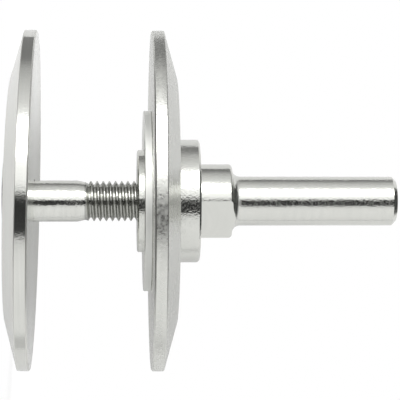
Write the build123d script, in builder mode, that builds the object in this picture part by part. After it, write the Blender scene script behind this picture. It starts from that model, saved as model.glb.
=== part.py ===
from build123d import *
import math
import os

# Flap wheel mandrel, in millimetres. It stands on the head of its clamping bolt, with the
# axis along +Z and the drive shank at the top. Z = 0 is the outer face of the bolt head.

# Clamping bolt, a countersunk M10 x 45 with a hexagon socket
bolt_d = 10.0
bolt_length = 45.0
thread_pitch = 1.5
thread_length = 27.0
thread_crest_relief = 0.2
runout_relief = 0.8
runout_length = 1.7
head_d = 19.6
head_edge = 0.2
head_land = 0.6
head_angle = 90.0
socket_width = 6.0
socket_depth = 4.6
bolt_tip_chamfer = 0.9

# Clamping flanges, dished discs with a flat clamping face and a bevelled back
flange_d = 83.0
flange_thickness = 6.2
flange_rim_width = 3.0
flange_flat_d = 60.0
flange_face_edge = 0.35
flange_back_edge = 0.15

# The front flange is loose on the bolt: it stands off the head, leans a little towards +X and
# lies off centre towards -X
head_proud = 1.2
flange_lean = 1.3
flange_shift = 0.25
bolt_hole_play = 0.6
seat_clearance = 0.05

# Distance between the two clamping faces, and how far the bolt can still be screwed in
clamping_gap = 28.5
closing_travel = 9.0

# Centring disc, which takes the bore of the flap wheel
disc_d = 44.0
disc_thickness = 1.9
disc_edge = 0.15

# Arbor, one turned piece: spigot, collar, hub with two spanner flats, and drive shank
spigot_d = 25.0
spigot_proud = 1.5
spigot_edge = 0.3
collar_d = 30.0
collar_length = 5.5
collar_edge = 0.45
hub_d = 18.0
hub_length = 8.0
hub_round = 0.8
spanner_width = 13.0
spanner_turn = -46.0
shank_d = 12.0
shank_length = 40.3
shank_fillet = 2.1
shank_chamfer = 1.0

# Tapped hole in the arbor, drawn as a plain bore just clear of the thread's crests
thread_clearance = 0.08
tapped_mouth = 0.5
tapped_spare = 0.5
drill_point_angle = 118.0

# Heights along the axis
front_back_z = head_proud
front_face_z = front_back_z + flange_thickness
rear_face_z = front_face_z + clamping_gap
rear_back_z = rear_face_z + flange_thickness
disc_face_z = rear_face_z - disc_thickness
spigot_face_z = disc_face_z - spigot_proud
hub_z = rear_back_z + collar_length
shank_z = hub_z + hub_length
shank_end_z = shank_z + shank_length


def flange_section(section_plane, hole_r):
    """Half section of a flange, with X as the radius and Y from the clamping face to the back."""
    with BuildSketch(section_plane) as section:
        with BuildLine():
            Polyline(
                (hole_r, 0),
                (flange_d / 2, 0),
                (flange_d / 2, flange_rim_width),
                (flange_flat_d / 2, flange_thickness),
                (hole_r, flange_thickness),
                close=True,
            )
        make_face()
        rim_corners = section.vertices().group_by(Axis.X)[-1].sort_by(Axis.Y)
        chamfer(rim_corners[0], flange_face_edge)
        chamfer(rim_corners[1], flange_back_edge)
    return section.sketch


# Clamping bolt
head_slope = math.tan(math.radians(head_angle / 2))
head_top_z = head_land + (head_d - bolt_d) / 2 / head_slope
runout_z = bolt_length - thread_length
thread_z = runout_z + runout_length
runout_r = (bolt_d - runout_relief) / 2
crest_r = (bolt_d - thread_crest_relief) / 2

with BuildPart() as clamp_bolt:
    with BuildSketch(Plane.XZ):
        with BuildLine():
            Polyline(
                (0, 0),
                (head_d / 2 - head_edge, 0),
                (head_d / 2, head_edge),
                (head_d / 2, head_land),
                (bolt_d / 2, head_top_z),
                (bolt_d / 2, runout_z),
                (runout_r, thread_z),
                (crest_r, thread_z + crest_r - runout_r),
                (crest_r, bolt_length - bolt_tip_chamfer),
                (crest_r - bolt_tip_chamfer, bolt_length),
                (0, bolt_length),
                close=True,
            )
        make_face()
    revolve(axis=Axis.Z)
    with BuildSketch(Plane.XY):
        RegularPolygon(radius=socket_width / 2, side_count=6, major_radius=False)
    extrude(amount=socket_depth, mode=Mode.SUBTRACT)
clamp_bolt.part.label = "clamp_bolt"

# Front flange, drawn in its own frame, which leans about the centre of its back
back_frame = Plane((-flange_shift, 0, front_back_z)).rotated((0, flange_lean, 0))
face_frame = back_frame.offset(flange_thickness)
front_section_plane = Plane(face_frame.origin, x_dir=face_frame.x_dir, z_dir=face_frame.y_dir)
front_axis = Axis(back_frame.origin, back_frame.z_dir)
bolt_hole_r = (bolt_d + bolt_hole_play) / 2

# The countersink clears the head's cone by what the lean and the shift take up
lean_play = head_d / 2 * math.sin(math.radians(flange_lean))
head_r_at_back = head_d / 2 - (head_proud - head_land) * head_slope
countersink_r = head_r_at_back + lean_play + flange_shift + seat_clearance
countersink_depth = (countersink_r - bolt_hole_r) / head_slope

with BuildPart() as front_flange:
    revolve(flange_section(front_section_plane, bolt_hole_r), axis=front_axis)
    with BuildSketch(front_section_plane):
        with BuildLine():
            Polyline(
                (bolt_hole_r, flange_thickness - countersink_depth),
                (bolt_hole_r, flange_thickness),
                (countersink_r, flange_thickness),
                close=True,
            )
        make_face()
    revolve(axis=front_axis, mode=Mode.SUBTRACT)
front_flange.part.label = "front_flange"

# Rear flange, pressed onto the spigot against the collar
rear_section_plane = Plane((0, 0, rear_face_z), x_dir=(1, 0, 0), z_dir=(0, -1, 0))

with BuildPart() as rear_flange:
    revolve(flange_section(rear_section_plane, spigot_d / 2), axis=Axis.Z)
rear_flange.part.label = "rear_flange"

# Centring disc, pressed onto the spigot against the rear flange
with BuildPart() as centring_disc:
    with BuildSketch(Plane.XY.offset(disc_face_z)):
        Circle(disc_d / 2)
        Circle(spigot_d / 2, mode=Mode.SUBTRACT)
    extrude(amount=disc_thickness)
    outer_edges = centring_disc.edges().filter_by(GeomType.CIRCLE).group_by(SortBy.RADIUS)[-1]
    chamfer(outer_edges, disc_edge)
centring_disc.part.label = "centring_disc"

# Arbor. The fillet and the round that meet on the hub's end share the step between them
hub_step = (hub_d - shank_d) / 2
fillet_share = 0.7
round_share = 0.28
shank_fillet_r = min(shank_fillet, fillet_share * hub_step)
hub_round_r = min(hub_round, round_share * hub_step)

# The tapped hole is deep enough for the bolt when it is screwed right in
tapped_r = crest_r + thread_clearance
tapped_end_z = bolt_length + closing_travel + tapped_spare
drill_r = (bolt_d - thread_pitch) / 2
drill_point_z = tapped_end_z + drill_r / math.tan(math.radians(drill_point_angle / 2))

with BuildPart() as arbor:
    with BuildSketch(Plane.XZ):
        with BuildLine():
            Polyline(
                (0, spigot_face_z),
                (spigot_d / 2, spigot_face_z),
                (spigot_d / 2, rear_back_z),
                (collar_d / 2, rear_back_z),
                (collar_d / 2, hub_z),
                (hub_d / 2, hub_z),
                (hub_d / 2, shank_z),
                (shank_d / 2, shank_z),
                (shank_d / 2, shank_end_z),
                (0, shank_end_z),
                close=True,
            )
        make_face()
    revolve(axis=Axis.Z)
    turned_edges = arbor.edges().filter_by(GeomType.CIRCLE)
    spigot_rim = turned_edges.filter_by_position(Axis.Z, spigot_face_z, spigot_face_z)
    collar_end = turned_edges.filter_by_position(Axis.Z, hub_z, hub_z)
    hub_end = turned_edges.filter_by_position(Axis.Z, shank_z, shank_z)
    shank_end = turned_edges.filter_by_position(Axis.Z, shank_end_z, shank_end_z)
    chamfer(shank_end, shank_chamfer)
    chamfer(spigot_rim, spigot_edge)
    chamfer(collar_end.sort_by(SortBy.RADIUS)[-1], collar_edge)
    fillet(hub_end.sort_by(SortBy.RADIUS)[0], shank_fillet_r)
    fillet(hub_end.sort_by(SortBy.RADIUS)[-1], hub_round_r)
    # The spanner flats are milled after the turning, so they run out in the shank's fillet
    flat_frame = Plane.XY.offset(hub_z).rotated((0, 0, spanner_turn))
    flat_cut = (hub_d - spanner_width) / 2
    with BuildSketch(flat_frame):
        with GridLocations(spanner_width + flat_cut, 0, 2, 1):
            Rectangle(flat_cut, hub_d)
    extrude(amount=hub_length + shank_fillet_r, mode=Mode.SUBTRACT)
    with BuildSketch(Plane.XZ):
        with BuildLine():
            Polyline(
                (0, spigot_face_z),
                (tapped_r + tapped_mouth, spigot_face_z),
                (tapped_r, spigot_face_z + tapped_mouth),
                (tapped_r, tapped_end_z),
                (drill_r, tapped_end_z),
                (0, drill_point_z),
                close=True,
            )
        make_face()
    revolve(axis=Axis.Z, mode=Mode.SUBTRACT)
arbor.part.label = "arbor"

os.makedirs("parts", exist_ok=True)
export_step(arbor.part, "parts/arbor.step")
export_step(rear_flange.part, "parts/rear_flange.step")
export_step(centring_disc.part, "parts/centring_disc.step")
export_step(front_flange.part, "parts/front_flange.step")
export_step(clamp_bolt.part, "parts/clamp_bolt.step")
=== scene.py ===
import math

import bmesh
import bpy
from mathutils import Matrix, Vector


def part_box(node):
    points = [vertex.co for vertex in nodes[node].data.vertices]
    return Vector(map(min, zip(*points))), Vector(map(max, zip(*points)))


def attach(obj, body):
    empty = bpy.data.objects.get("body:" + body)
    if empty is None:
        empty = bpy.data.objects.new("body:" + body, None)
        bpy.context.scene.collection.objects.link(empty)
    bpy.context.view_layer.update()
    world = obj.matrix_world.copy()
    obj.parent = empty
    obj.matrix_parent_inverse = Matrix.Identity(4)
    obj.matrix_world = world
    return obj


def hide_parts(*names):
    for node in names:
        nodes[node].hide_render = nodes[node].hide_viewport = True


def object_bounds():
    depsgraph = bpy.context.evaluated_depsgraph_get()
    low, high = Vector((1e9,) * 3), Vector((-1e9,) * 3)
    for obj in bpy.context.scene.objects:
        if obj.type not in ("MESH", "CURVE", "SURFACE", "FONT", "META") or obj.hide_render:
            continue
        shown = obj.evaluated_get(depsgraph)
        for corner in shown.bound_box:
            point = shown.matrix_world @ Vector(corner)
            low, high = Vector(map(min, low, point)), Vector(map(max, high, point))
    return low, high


# Flap wheel mandrel of bright zinc-plated steel, standing on its bolt head. Sizes are in metres.
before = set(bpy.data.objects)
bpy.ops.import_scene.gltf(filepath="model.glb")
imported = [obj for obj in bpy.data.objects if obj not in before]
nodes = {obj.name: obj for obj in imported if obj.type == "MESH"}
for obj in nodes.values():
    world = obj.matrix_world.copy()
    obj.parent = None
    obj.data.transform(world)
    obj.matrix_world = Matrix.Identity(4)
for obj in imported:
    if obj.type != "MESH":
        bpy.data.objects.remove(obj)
cad_low, cad_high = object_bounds()
MM = 0.001
WHITE = (1, 1, 1, 1)

# Clamping bolt, with the same sizes as its solid
BOLT_R = 5.0 * MM
RUNOUT_R = 4.6 * MM
RUNOUT_Z = 18.0 * MM
THREAD_Z = 19.7 * MM
TIP_CHAMFER = 0.9 * MM
HEAD_EDGE = 0.2 * MM
HEAD_LAND = 0.6 * MM
SOCKET_FLAT = 3.0 * MM
SOCKET_SECTOR = math.tau / 6
SOCKET_DEPTH = 4.6 * MM
SOCKET_CHAMFER = 0.25 * MM
SOCKET_POINT = 0.9 * MM

# Rolled thread. Its profile's corners are given by height above the crest's foot and by radius
PITCH = 1.5 * MM
CREST_R = 4.9 * MM
ROOT_R = 4.08 * MM
ROOT_HOLLOW = 0.04 * MM
CREST_FLAT = 0.19 * MM
FLANK_ANGLE = math.radians(30)
FLANK_RUN = (CREST_R - ROOT_R) * math.tan(FLANK_ANGLE)
FIRST_CREST_Z = 1.01 * MM
THREAD_PROFILE = (
    (0.0, CREST_R),
    (CREST_FLAT, CREST_R),
    (CREST_FLAT + FLANK_RUN, ROOT_R),
    ((CREST_FLAT + PITCH) / 2, ROOT_R - ROOT_HOLLOW),
    (PITCH - FLANK_RUN, ROOT_R),
)

# Mesh of the bolt
COLUMNS = 120
WELD_DISTANCE = 0.001 * MM
SMOOTH_ANGLE = math.radians(24)

# Arbor, for the places where its finish changes
COLLAR_LENGTH = 5.5 * MM
HUB_LENGTH = 8.0 * MM
ZONE_EDGE = 0.1 * MM

# Limits of slope, which is 0 on a rim, 0.7 on a chamfer and nearly 1 on a flange's face
RIM_TO_CHAMFER = (0.1, 0.3)
CHAMFER_TO_FACE = (0.85, 0.9)
CHAMFERS = (0.4, 0.87)
CHAMFER_SOFTNESS = 0.03

# Zinc plating: its colour, and the way that its grain runs on turned and on sheared steel
ZINC = (0.695, 0.70, 0.665)
PALE_ZINC = (0.76, 0.765, 0.74)
TURNED = 0.25
SHEARED = 0.0

# Textures of the steel: how fine they are, and how they mix
MARK_FINENESS = 3.2
BAND_FINENESS = 0.9
CLOUD_FINENESS = 160.0
WAVE_STRETCH = 4.0
WAVE_SHARE = 0.5
BAND_SHARE = 0.65
TONE_LIMITS = (0.3, 0.7)
TONE_ROUGHNESS = 0.12
PATCH_LIMITS = (0.35, 0.65)
MIDDLE_RADIUS = 0.5 * MM

# Finish of each piece
ARBOR_FINISH = {
    "colour": ZINC,
    "grain": TURNED,
    "roughness": 0.24,
    "anisotropy": 0.7,
    "patches": 0.6,
    "patch_scale": 2400.0,
    "peel": 0.034 * MM,
    "peel_scale": 2200.0,
    "marks": 0.0016 * MM,
    "streak": 0.02,
}
BOLT_FINISH = {
    **ARBOR_FINISH,
    "roughness": 0.15,
    "peel": 0.04 * MM,
    "streak": 0.04,
}
FRONT_FINISH = {
    "colour": ZINC,
    "grain": TURNED,
    "roughness": 0.12,
    "anisotropy": 0.8,
    "patches": 0.2,
    "patch_scale": 1500.0,
    "peel": 0.016 * MM,
    "peel_scale": 2000.0,
    "marks": 0.002 * MM,
    "streak": 0.04,
}
REAR_FINISH = {
    **FRONT_FINISH,
    "roughness": 0.37,
    "anisotropy": 0.3,
    "patches": 0.3,
    "patch_scale": 1200.0,
    "peel": 0.035 * MM,
    "streak": 0.05,
}
DISC_FINISH = {
    **FRONT_FINISH,
    "colour": PALE_ZINC,
    "grain": SHEARED,
    "roughness": 0.15,
    "patches": 0.0,
    "peel": 0.01 * MM,
}

# Camera, placed from the photograph: it looks at the mandrel square on from the bolt's side
CAMERA_DISTANCE = 478.0 * MM
CAMERA_FOOT_Z = 24.6 * MM
AIM_Z = 47.9 * MM
AIM_X = -0.26 * MM
LENS_MM = 175.9
SENSOR_MM = 36.0
NEAREST_SEEN = 0.01
FURTHEST_SEEN = 20.0

# White floor: its own glow hides the shade under the mandrel and far from it
FLOOR_REACH = 3.0
FLOOR_GREY = 0.9
FLOOR_CLEAR = 0.046
FLOOR_SHADE_NEAR = 0.066
FLOOR_SHADE_FAR = 0.3
SHADE_GLOW_SHARE = 0.66

# White table that the photographed mandrel lay on, seen in its reflections behind it
TABLE_GAP = 1.0 * MM
TABLE_UP = 83.0 * MM
TABLE_DOWN = 160.0 * MM
TABLE_FOOT = 250.0 * MM
TABLE_HEAD = 185.0 * MM
TABLE_GREY = 0.69
TABLE_GLOW = 0.55
TABLE_GLOW_SHARE = 0.3

# Key lamp
KEY_PLACE = (-0.3, -0.35, 1.1)
KEY_SIZE = 0.8
KEY_ENERGY = 16.5

# Studio round the mandrel by height, from 0 at the horizon to 1 straight above and below
KEY_LIGHT = 5.5
LIGHT_OVER_KEY = 1.0
KEY_ENDS = (0.36, 0.5)
RAISED_LIGHT = 0.5
RAISED_STARTS = (0.16, 0.34)
POLE_LIGHT = 0.06
POLE_STARTS = (0.6, 0.86)

# Studio light by bearing, in degrees from the camera towards the key
STUDIO_BEARINGS = (
    (-180, 0.85),
    (-119, 0.95),
    (-115, 0.66),
    (-105, 0.66),
    (-98, 0.92),
    (-50, 0.99),
    (-35, 0.94),
    (-29, 0.84),
    (-25, 0.68),
    (-23.6, 0.42),
    (-22.4, 0.2),
    (-21, 0.05),
    (0, 0.03),
    (2, 0.12),
    (4.5, 0.4),
    (6.5, 0.84),
    (9, 1.08),
    (14, 1.3),
    (26, 1.44),
    (31, KEY_LIGHT),
    (52, KEY_LIGHT),
    (57, 1.45),
    (61.5, 1.15),
    (67, 0.94),
    (82, 0.74),
    (90, 0.63),
    (99, 0.5),
    (105, 0.33),
    (110, 0.26),
    (150, 0.26),
    (170, 0.7),
    (180, 0.85),
)


def add_object(name, data):
    """Puts a mesh, a lamp or a camera in the scene."""
    thing = bpy.data.objects.new(name, data)
    bpy.context.scene.collection.objects.link(thing)
    return thing


def smoothstep(value):
    """Smooth rise from 0 to 1."""
    t = min(max(value, 0.0), 1.0)
    return t * t * (3 - 2 * t)


def column_angles():
    """Angles of the mesh's columns round the axis."""
    return [math.tau * column / COLUMNS for column in range(COLUMNS)]


def point(angle, radius, z):
    """Point at an angle round the axis."""
    return Vector((radius * math.cos(angle), radius * math.sin(angle), z))


def round_ring(z, radius):
    """Ring of points at one height."""
    return [point(a, radius, z) for a in column_angles()]


def hexagon_ring(z, flat):
    """Ring on a hexagon whose flats are at this distance from the axis."""
    ring = []
    for a in column_angles():
        from_flat = a % SOCKET_SECTOR - SOCKET_SECTOR / 2
        ring.append(point(a, flat / math.cos(from_flat), z))
    return ring


def thread_rings(low_z, high_z):
    """Rings that follow the helix, one for each corner of the thread's profile in every turn."""
    start = FIRST_CREST_Z - CREST_FLAT / 2
    first_turn = math.floor((low_z - start) / PITCH) - 1
    last_turn = math.ceil((high_z - start) / PITCH) + 1
    rings = []
    for turn in range(first_turn, last_turn):
        for offset, radius in THREAD_PROFILE:
            ring = []
            for a in column_angles():
                z = start + turn * PITCH + offset + PITCH * a / math.tau
                z = min(max(z, low_z), high_z)
                grown = smoothstep((z - low_z) / PITCH)
                r = RUNOUT_R + (radius - RUNOUT_R) * grown
                r = min(r, CREST_R - TIP_CHAMFER + high_z - z)
                ring.append(point(a, r, z))
            rings.append(ring)
    return rings


def skin(name, rings, helix, low_pole, high_pole):
    """Closed mesh over a stack of rings of equal length, with a pole at each end.

    The rings in the helix climb by one turn, so their ends join the rings one turn above.
    """
    form = bmesh.new()
    stack = [[form.verts.new(place) for place in ring] for ring in rings]
    turn = len(THREAD_PROFILE)
    for k in range(len(stack) - 1):
        lower, upper = stack[k], stack[k + 1]
        for i in range(COLUMNS - 1):
            form.faces.new((lower[i], lower[i + 1], upper[i + 1], upper[i]))
        if k in helix:
            next_lower = stack[min(k + turn, helix.stop)][0]
            next_upper = stack[min(k + 1 + turn, helix.stop)][0]
        else:
            next_lower, next_upper = lower[0], upper[0]
        # Where two corners are one point, the face is a triangle
        corners = dict.fromkeys((lower[-1], next_lower, next_upper, upper[-1]))
        form.faces.new(list(corners))
    for ring, pole in ((stack[0][::-1], low_pole), (stack[-1], high_pole)):
        tip = form.verts.new((0, 0, pole))
        for i in range(COLUMNS):
            form.faces.new((ring[i], ring[(i + 1) % COLUMNS], tip))
    bmesh.ops.remove_doubles(form, verts=form.verts, dist=WELD_DISTANCE)
    bmesh.ops.dissolve_degenerate(form, dist=WELD_DISTANCE, edges=form.edges)
    bmesh.ops.recalc_face_normals(form, faces=form.faces)
    for face in form.faces:
        face.smooth = True
    for edge in form.edges:
        edge.smooth = edge.calc_face_angle(math.pi) < SMOOTH_ANGLE
    mesh = bpy.data.meshes.new(name)
    form.to_mesh(mesh)
    form.free()
    return add_object(name, mesh)


def bolt_with_thread():
    """The clamping bolt with its rolled thread, from the socket's floor to the tip."""
    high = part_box("clamp_bolt")[1]
    head_r = high.x
    cone_top_z = HEAD_LAND + head_r - BOLT_R
    socket_corner = SOCKET_FLAT / math.cos(SOCKET_SECTOR / 2)
    rings = [
        hexagon_ring(SOCKET_DEPTH, SOCKET_FLAT),
        hexagon_ring(SOCKET_CHAMFER, SOCKET_FLAT),
        round_ring(0, socket_corner + SOCKET_CHAMFER),
        round_ring(0, head_r - HEAD_EDGE),
        round_ring(HEAD_EDGE, head_r),
        round_ring(HEAD_LAND, head_r),
        round_ring(cone_top_z, BOLT_R),
        round_ring(RUNOUT_Z, BOLT_R),
        round_ring(THREAD_Z, RUNOUT_R),
    ]
    thread = thread_rings(THREAD_Z, high.z)
    helix = range(len(rings), len(rings) + len(thread) - 1)
    rings += thread
    rings.append(round_ring(high.z, CREST_R - TIP_CHAMFER))
    bolt = skin("threaded_bolt", rings, helix, SOCKET_DEPTH + SOCKET_POINT, high.z)
    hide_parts("clamp_bolt")
    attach(bolt, "clamp_bolt")
    return bolt


class Wiring:
    """Adds nodes to one node tree and links them by name."""

    def __init__(self, tree):
        self.tree = tree
        tree.nodes.clear()

    def add(self, kind, inputs=(), **settings):
        """New node, with each input linked to a socket or set to a value."""
        node = self.tree.nodes.new(kind)
        for key, value in settings.items():
            setattr(node, key, value)
        for key, value in dict(inputs).items():
            if isinstance(value, bpy.types.NodeSocket):
                self.tree.links.new(value, node.inputs[key])
            else:
                node.inputs[key].default_value = value
        return node

    def math(self, operation, first, second=0.0, third=0.0, clamp=False):
        """One step of arithmetic."""
        inputs = {0: first, 1: second, 2: third}
        node = self.add("ShaderNodeMath", inputs, operation=operation, use_clamp=clamp)
        return node.outputs[0]

    def split(self, vector):
        """The three parts of a vector."""
        return self.add("ShaderNodeSeparateXYZ", {0: vector}).outputs

    def step(self, value, limits, bottom=0.0, top=1.0):
        """Smooth change from one number to another between two limits."""
        low, high = limits
        inputs = {
            "Value": value,
            "From Min": low,
            "From Max": high,
            "To Min": bottom,
            "To Max": top,
        }
        node = self.add("ShaderNodeMapRange", inputs, interpolation_type="SMOOTHSTEP")
        return node.outputs[0]

    def zone(self, value, low, high, soft):
        """1 where a value lies between two limits and 0 outside them, with soft edges."""
        rise = self.step(value, (low - soft, low + soft))
        fall = self.step(value, (high - soft, high + soft))
        return self.math("SUBTRACT", rise, fall)

    def noise(self, place, scale, detail, roughness=0.5):
        """Noise from 0 to 1."""
        inputs = {"Vector": place, "Scale": scale, "Detail": detail, "Roughness": roughness}
        return self.add("ShaderNodeTexNoise", inputs).outputs["Fac"]

    def bump(self, height, distance, normal=None):
        """Normal of a surface with this relief on it."""
        inputs = {"Strength": 1.0, "Distance": distance, "Height": height}
        if normal:
            inputs["Normal"] = normal
        return self.add("ShaderNodeBump", inputs).outputs[0]

    def blend(self, factor, first, second):
        """Colour between two colours."""
        inputs = {"Factor": factor, 6: first, 7: second}
        return self.add("ShaderNodeMix", inputs, data_type="RGBA").outputs[2]

    def ramp(self, factor, stops):
        """Colour ramp of greys, from (position, grey) pairs."""
        node = self.add("ShaderNodeValToRGB", {"Fac": factor})
        elements = node.color_ramp.elements
        while len(elements) < len(stops):
            elements.new(0.5)
        for element, (position, grey) in zip(elements, stops):
            element.position = position
            element.color = (grey, grey, grey, 1)
        return node.outputs["Color"]

    def paint(self, grey):
        """Matt paint."""
        return self.add("ShaderNodeBsdfDiffuse", {"Color": (grey, grey, grey, 1)}).outputs[0]

    def glow(self, strength):
        """White light that a surface gives off."""
        inputs = {"Color": WHITE, "Strength": strength}
        return self.add("ShaderNodeEmission", inputs).outputs[0]

    def mix(self, share, first, second):
        """Shader with a share of the second in the first."""
        return self.add("ShaderNodeMixShader", {0: share, 1: first, 2: second}).outputs[0]


def on_the_faces(w, z, slope):
    """Mask of a flange's flat and bevelled faces, away from its rim."""
    return w.step(slope, CHAMFER_TO_FACE)


def on_the_rim(w, z, slope):
    """Mask of the outer rim."""
    return w.step(slope, RIM_TO_CHAMFER, 1.0, 0.0)


def on_the_edges(w, z, slope):
    """Mask of the chamfers, which are worn; on the front flange they are also painted lighter, as
    a painted highlight.
    """
    return w.zone(slope, *CHAMFERS, CHAMFER_SOFTNESS)


def on_the_collar(w, z, slope):
    """Mask of the arbor's collar."""
    collar_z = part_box("rear_flange")[1].z
    return w.zone(z, collar_z, collar_z + COLLAR_LENGTH, ZONE_EDGE)


def on_the_hub(w, z, slope):
    """Mask of the arbor's hub."""
    hub_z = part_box("rear_flange")[1].z + COLLAR_LENGTH
    return w.zone(z, hub_z, hub_z + HUB_LENGTH, ZONE_EDGE)


def on_the_thread(w, z, slope):
    """Mask of the bolt's thread, whose colour is painted darker there as painted shade in its
    grooves.
    """
    return w.zone(z, THREAD_Z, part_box("clamp_bolt")[1].z, ZONE_EDGE)


# Zones of each piece by mask, with how much coarser and duller the steel is there, and a factor
# on its colour that is painted light above 1 and painted shade below 1
ARBOR_ZONES = {
    on_the_collar: {"coarser": 1.25},
    on_the_hub: {"coarser": 0.8, "duller": 0.6},
}
BOLT_ZONES = {
    # Painted shade: the thread's colour is darker, standing in for the shade in its grooves; it
    # is also duller
    on_the_thread: {"duller": 1.6, "painted_shading": 0.64},
}
FRONT_ZONES = {
    # Painted light: the front flange's faces and chamfers are painted lighter, standing in for
    # brighter reflections
    on_the_faces: {"duller": 1.3, "painted_shading": 1.22},
    on_the_edges: {"coarser": 0.5, "duller": 4.0, "painted_shading": 1.15},
}
REAR_ZONES = {
    # Painted shade: the rear flange's faces are painted darker, standing in for the shade
    # reflected in them
    on_the_faces: {"coarser": 0.1, "duller": 0.7, "painted_shading": 0.84},
    on_the_edges: {"coarser": 0.2},
}
DISC_ZONES = {
    on_the_rim: {"duller": 3.0},
}


def zone_factor(w, zones, change):
    """Factor of the zones on the steel's coarseness, on its dullness, or on its colour as painted
    light and shade.
    """
    factor = 1.0
    for mask, changes in zones:
        inside = changes.get(change, 1.0)
        factor = w.math("MULTIPLY", factor, w.math("MULTIPLY_ADD", mask, inside - 1, 1.0))
    return factor


def tool_path(w, x, y, z, radius):
    """Place in the tool marks, which vary along the tool's path and hardly round the axis."""
    path_mm = w.math("MULTIPLY", w.math("ADD", radius, z), 1 / MM)
    safe_radius = w.math("MAXIMUM", radius, MIDDLE_RADIUS)
    round_x = w.math("DIVIDE", x, safe_radius)
    round_y = w.math("DIVIDE", y, safe_radius)
    return w.add("ShaderNodeCombineXYZ", {0: path_mm, 1: round_x, 2: round_y}).outputs[0]


def steel_tone(w, place, path):
    """Faint bands round the axis with faint clouds in them."""
    bands = w.noise(path, BAND_FINENESS, detail=3.0, roughness=0.6)
    clouds = w.noise(place, CLOUD_FINENESS, detail=3.0)
    band_tone = w.math("MULTIPLY", bands, BAND_SHARE)
    return w.math("ADD", band_tone, w.math("MULTIPLY", clouds, 1 - BAND_SHARE))


def steel_colour(w, finish, tone, painted_shading_factor):
    """Colour of the zinc, darker and lighter by its tone, and scaled by the zones' painted light
    and shade.
    """
    dark = [c * (1 - finish["streak"]) for c in finish["colour"]]
    light = [c * (1 + finish["streak"]) for c in finish["colour"]]
    inputs = {0: w.blend(w.step(tone, TONE_LIMITS), (*dark, 1), (*light, 1)), "Scale": painted_shading_factor}
    return w.add("ShaderNodeVectorMath", inputs, operation="SCALE").outputs[0]


def steel_roughness(w, finish, place, tone, coarseness, dullness):
    """Roughness, which follows the tone and is lower in small bright patches."""
    smoothest = finish["roughness"] * (1 - TONE_ROUGHNESS)
    roughest = finish["roughness"] * (1 + TONE_ROUGHNESS)
    streaked = w.step(tone, TONE_LIMITS, smoothest, roughest)
    grains = w.noise(place, finish["patch_scale"], detail=1.0)
    bright = w.step(grains, PATCH_LIMITS, finish["patches"], 0.0)
    shine = w.math("MULTIPLY", bright, coarseness, clamp=True)
    patched = w.math("MULTIPLY", streaked, w.math("SUBTRACT", 1.0, shine))
    return w.math("MULTIPLY", patched, dullness)


def steel_relief(w, finish, place, path, coarseness):
    """Relief of the plating's orange peel and of the tool marks."""
    marks = w.noise(path, MARK_FINENESS, detail=3.0, roughness=0.6)
    peel = w.noise(place, finish["peel_scale"], detail=1.0)
    waves = w.noise(place, finish["peel_scale"] / WAVE_STRETCH, detail=1.0)
    height = w.math("MULTIPLY", w.math("MULTIPLY_ADD", waves, WAVE_SHARE, peel), coarseness)
    return w.bump(marks, finish["marks"], w.bump(height, finish["peel"]))


def turned_steel(name, finish, zones):
    """Zinc-plated turned steel: rings of tool marks, an orange-peel skin and faint streaks.

    A zone's mask is found from the height and the slope, and is 1 inside the zone.
    """
    material = bpy.data.materials.new(name)
    material.use_nodes = True
    w = Wiring(material.node_tree)
    coordinates = w.add("ShaderNodeTexCoord").outputs
    place = coordinates["Object"]
    x, y, z = w.split(place)
    radius = w.math("SQRT", w.math("ADD", w.math("MULTIPLY", x, x), w.math("MULTIPLY", y, y)))
    slope = w.math("ABSOLUTE", w.split(coordinates["Normal"])[2])

    masked = [(mask_of(w, z, slope), changes) for mask_of, changes in zones.items()]
    coarseness = zone_factor(w, masked, "coarser")
    dullness = zone_factor(w, masked, "duller")
    # Painted light and shade: the zones' factor on the colour stands in for how light falls on
    # them
    painted_shading_factor = zone_factor(w, masked, "painted_shading")

    path = tool_path(w, x, y, z, radius)
    tone = steel_tone(w, place, path)
    steel = {
        "Base Color": steel_colour(w, finish, tone, painted_shading_factor),
        "Metallic": 1.0,
        "Roughness": steel_roughness(w, finish, place, tone, coarseness, dullness),
        "Anisotropic": finish["anisotropy"],
        "Anisotropic Rotation": finish["grain"],
        "Tangent": w.add("ShaderNodeTangent", direction_type="RADIAL", axis="Z").outputs[0],
        "Normal": steel_relief(w, finish, place, path, coarseness),
    }
    shader = w.add("ShaderNodeBsdfPrincipled", steel).outputs[0]
    w.add("ShaderNodeOutputMaterial", {"Surface": shader})
    return material


def dress(piece, material):
    """Gives the piece its material."""
    if piece.material_slots:
        piece.material_slots[0].material = material
    else:
        piece.data.materials.append(material)


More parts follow.
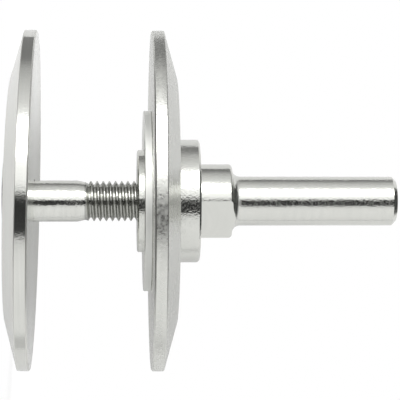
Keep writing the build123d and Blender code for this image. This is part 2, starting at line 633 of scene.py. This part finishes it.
def studio_world():
    """Light by bearing round the mandrel, as its polished cylinders show it, and white behind.

    The key is a low bright strip, and the dark strip on the camera's side is low as well. Higher
    up the light is even, at its raised level, and straight above and below it is dark.
    """
    world = bpy.data.worlds.new("studio")
    bpy.context.scene.world = world
    world.use_nodes = True
    w = Wiring(world.node_tree)
    x, y, z = w.split(w.add("ShaderNodeTexCoord").outputs["Generated"])
    bearing = w.math("ARCTAN2", w.math("MULTIPLY", x, -1.0), w.math("MULTIPLY", y, -1.0))
    turn = w.math("ADD", w.math("DIVIDE", bearing, math.tau), 0.5)
    stops = [((degrees + 180) / 360, light) for degrees, light in STUDIO_BEARINGS]
    ring = w.ramp(turn, stops)
    height = w.math("ABSOLUTE", z)
    brightest = w.step(height, KEY_ENDS, KEY_LIGHT, LIGHT_OVER_KEY)
    darkest = w.step(height, RAISED_STARTS, 0.0, RAISED_LIGHT)
    light = w.math("MAXIMUM", w.math("MINIMUM", ring, brightest), darkest)
    pole = (POLE_LIGHT, POLE_LIGHT, POLE_LIGHT, 1)
    studio = w.blend(w.step(height, POLE_STARTS), light, pole)
    seen = w.add("ShaderNodeLightPath").outputs["Is Camera Ray"]
    inputs = {"Color": w.blend(seen, studio, WHITE), "Strength": 1.0}
    background = w.add("ShaderNodeBackground", inputs).outputs[0]
    w.add("ShaderNodeOutputWorld", {"Surface": background})


def flat_card(name, corners, paint_of):
    """Four-cornered card of the studio. A function of the wiring gives its paint."""
    mesh = bpy.data.meshes.new(name)
    mesh.from_pydata(corners, [], [(0, 1, 2, 3)])
    card = add_object(name, mesh)
    material = bpy.data.materials.new(name + "_white")
    material.use_nodes = True
    w = Wiring(material.node_tree)
    w.add("ShaderNodeOutputMaterial", {"Surface": paint_of(w)})
    mesh.materials.append(material)
    return card


def table_paint(w):
    """White paint with a glow of its own, so that the mandrel's shadow on it stays light."""
    return w.mix(TABLE_GLOW_SHARE, w.paint(TABLE_GREY), w.glow(TABLE_GLOW))


def white_table():
    """The table shows in the steel's reflections, with the mandrel's shadow, and nowhere else."""
    y = cad_high.y + TABLE_GAP
    corners = [
        (TABLE_DOWN, y, -TABLE_FOOT),
        (-TABLE_UP, y, -TABLE_FOOT),
        (-TABLE_UP, y, TABLE_HEAD),
        (TABLE_DOWN, y, TABLE_HEAD),
    ]
    table = flat_card("table", corners, table_paint)
    table.visible_camera = False
    table.visible_diffuse = False
    table.visible_transmission = False
    table.visible_shadow = False


def floor_paint(w):
    """White paint with a glow of its own to the camera.

    The glow is full straight under the mandrel, is weaker round it, where the shadow falls, and
    grows again further out. From below the floor is clear, so that the bolt's head shows.
    """
    place = w.add("ShaderNodeTexCoord").outputs["Object"]
    reach = w.add("ShaderNodeVectorMath", {0: place}, operation="LENGTH").outputs["Value"]
    seen = w.add("ShaderNodeLightPath").outputs["Is Camera Ray"]
    under = w.step(reach, (FLOOR_CLEAR, FLOOR_SHADE_NEAR), 1.0, SHADE_GLOW_SHARE)
    beyond = w.step(reach, (FLOOR_SHADE_NEAR, FLOOR_SHADE_FAR), 0.0, 1 - SHADE_GLOW_SHARE)
    share = w.math("MULTIPLY", seen, w.math("ADD", under, beyond))
    painted = w.mix(share, w.paint(FLOOR_GREY), w.glow(1.0))
    below = w.add("ShaderNodeNewGeometry").outputs["Backfacing"]
    clear = w.add("ShaderNodeBsdfTransparent").outputs[0]
    return w.mix(below, painted, clear)


def pale_floor():
    """White floor: it keeps the shadow near the mandrel and is plain white further out.

    The steel mirrors the studio in its place, below the horizon too. The floor stays under the
    bolt's head, on which the mandrel stands, when the bolt is screwed in or out.
    """
    corners = [(-1, -1, 0), (1, -1, 0), (1, 1, 0), (-1, 1, 0)]
    floor = flat_card("floor", [FLOOR_REACH * Vector(c) for c in corners], floor_paint)
    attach(floor, "clamp_bolt")
    floor.visible_glossy = False
    floor.visible_diffuse = False
    floor.visible_shadow = False


def key_lamp():
    """Large soft lamp on the key side, which gives the floor its shadow."""
    lamp = bpy.data.lights.new("key", "AREA")
    lamp.shape = "DISK"
    lamp.size = KEY_SIZE
    lamp.energy = KEY_ENERGY
    key = add_object("key", lamp)
    key.location = KEY_PLACE
    aim = Vector((0, 0, AIM_Z)) - key.location
    key.rotation_euler = aim.to_track_quat("-Z", "Y").to_euler()
    key.visible_glossy = False
    key.visible_camera = False


def photo_camera():
    """Camera of the photograph: the mandrel's axis runs from left to right in its picture."""
    data = bpy.data.cameras.new("camera")
    data.sensor_width = SENSOR_MM
    data.lens = LENS_MM
    data.clip_start = NEAREST_SEEN
    data.clip_end = FURTHEST_SEEN
    camera = add_object("camera", data)
    place = Vector((AIM_X, -CAMERA_DISTANCE, CAMERA_FOOT_Z))
    forward = (Vector((AIM_X, 0, AIM_Z)) - place).normalized()
    up = Vector((-1, 0, 0))
    right = forward.cross(up).normalized()
    turn = Matrix((right, right.cross(forward), -forward)).transposed()
    camera.matrix_world = Matrix.Translation(place) @ turn.to_4x4()
    bpy.context.scene.camera = camera


def finish_looks():
    """View settings that show colours as they are."""
    bpy.context.scene.view_settings.view_transform = "Standard"


# Camera, studio and stage
photo_camera()
studio_world()
white_table()
pale_floor()
key_lamp()
finish_looks()

# Pieces and their steel
dress(nodes["arbor"], turned_steel("arbor_zinc", ARBOR_FINISH, ARBOR_ZONES))
dress(nodes["front_flange"], turned_steel("front_zinc", FRONT_FINISH, FRONT_ZONES))
dress(nodes["rear_flange"], turned_steel("rear_zinc", REAR_FINISH, REAR_ZONES))
dress(nodes["centring_disc"], turned_steel("disc_zinc", DISC_FINISH, DISC_ZONES))
dress(bolt_with_thread(), turned_steel("bolt_zinc", BOLT_FINISH, BOLT_ZONES))
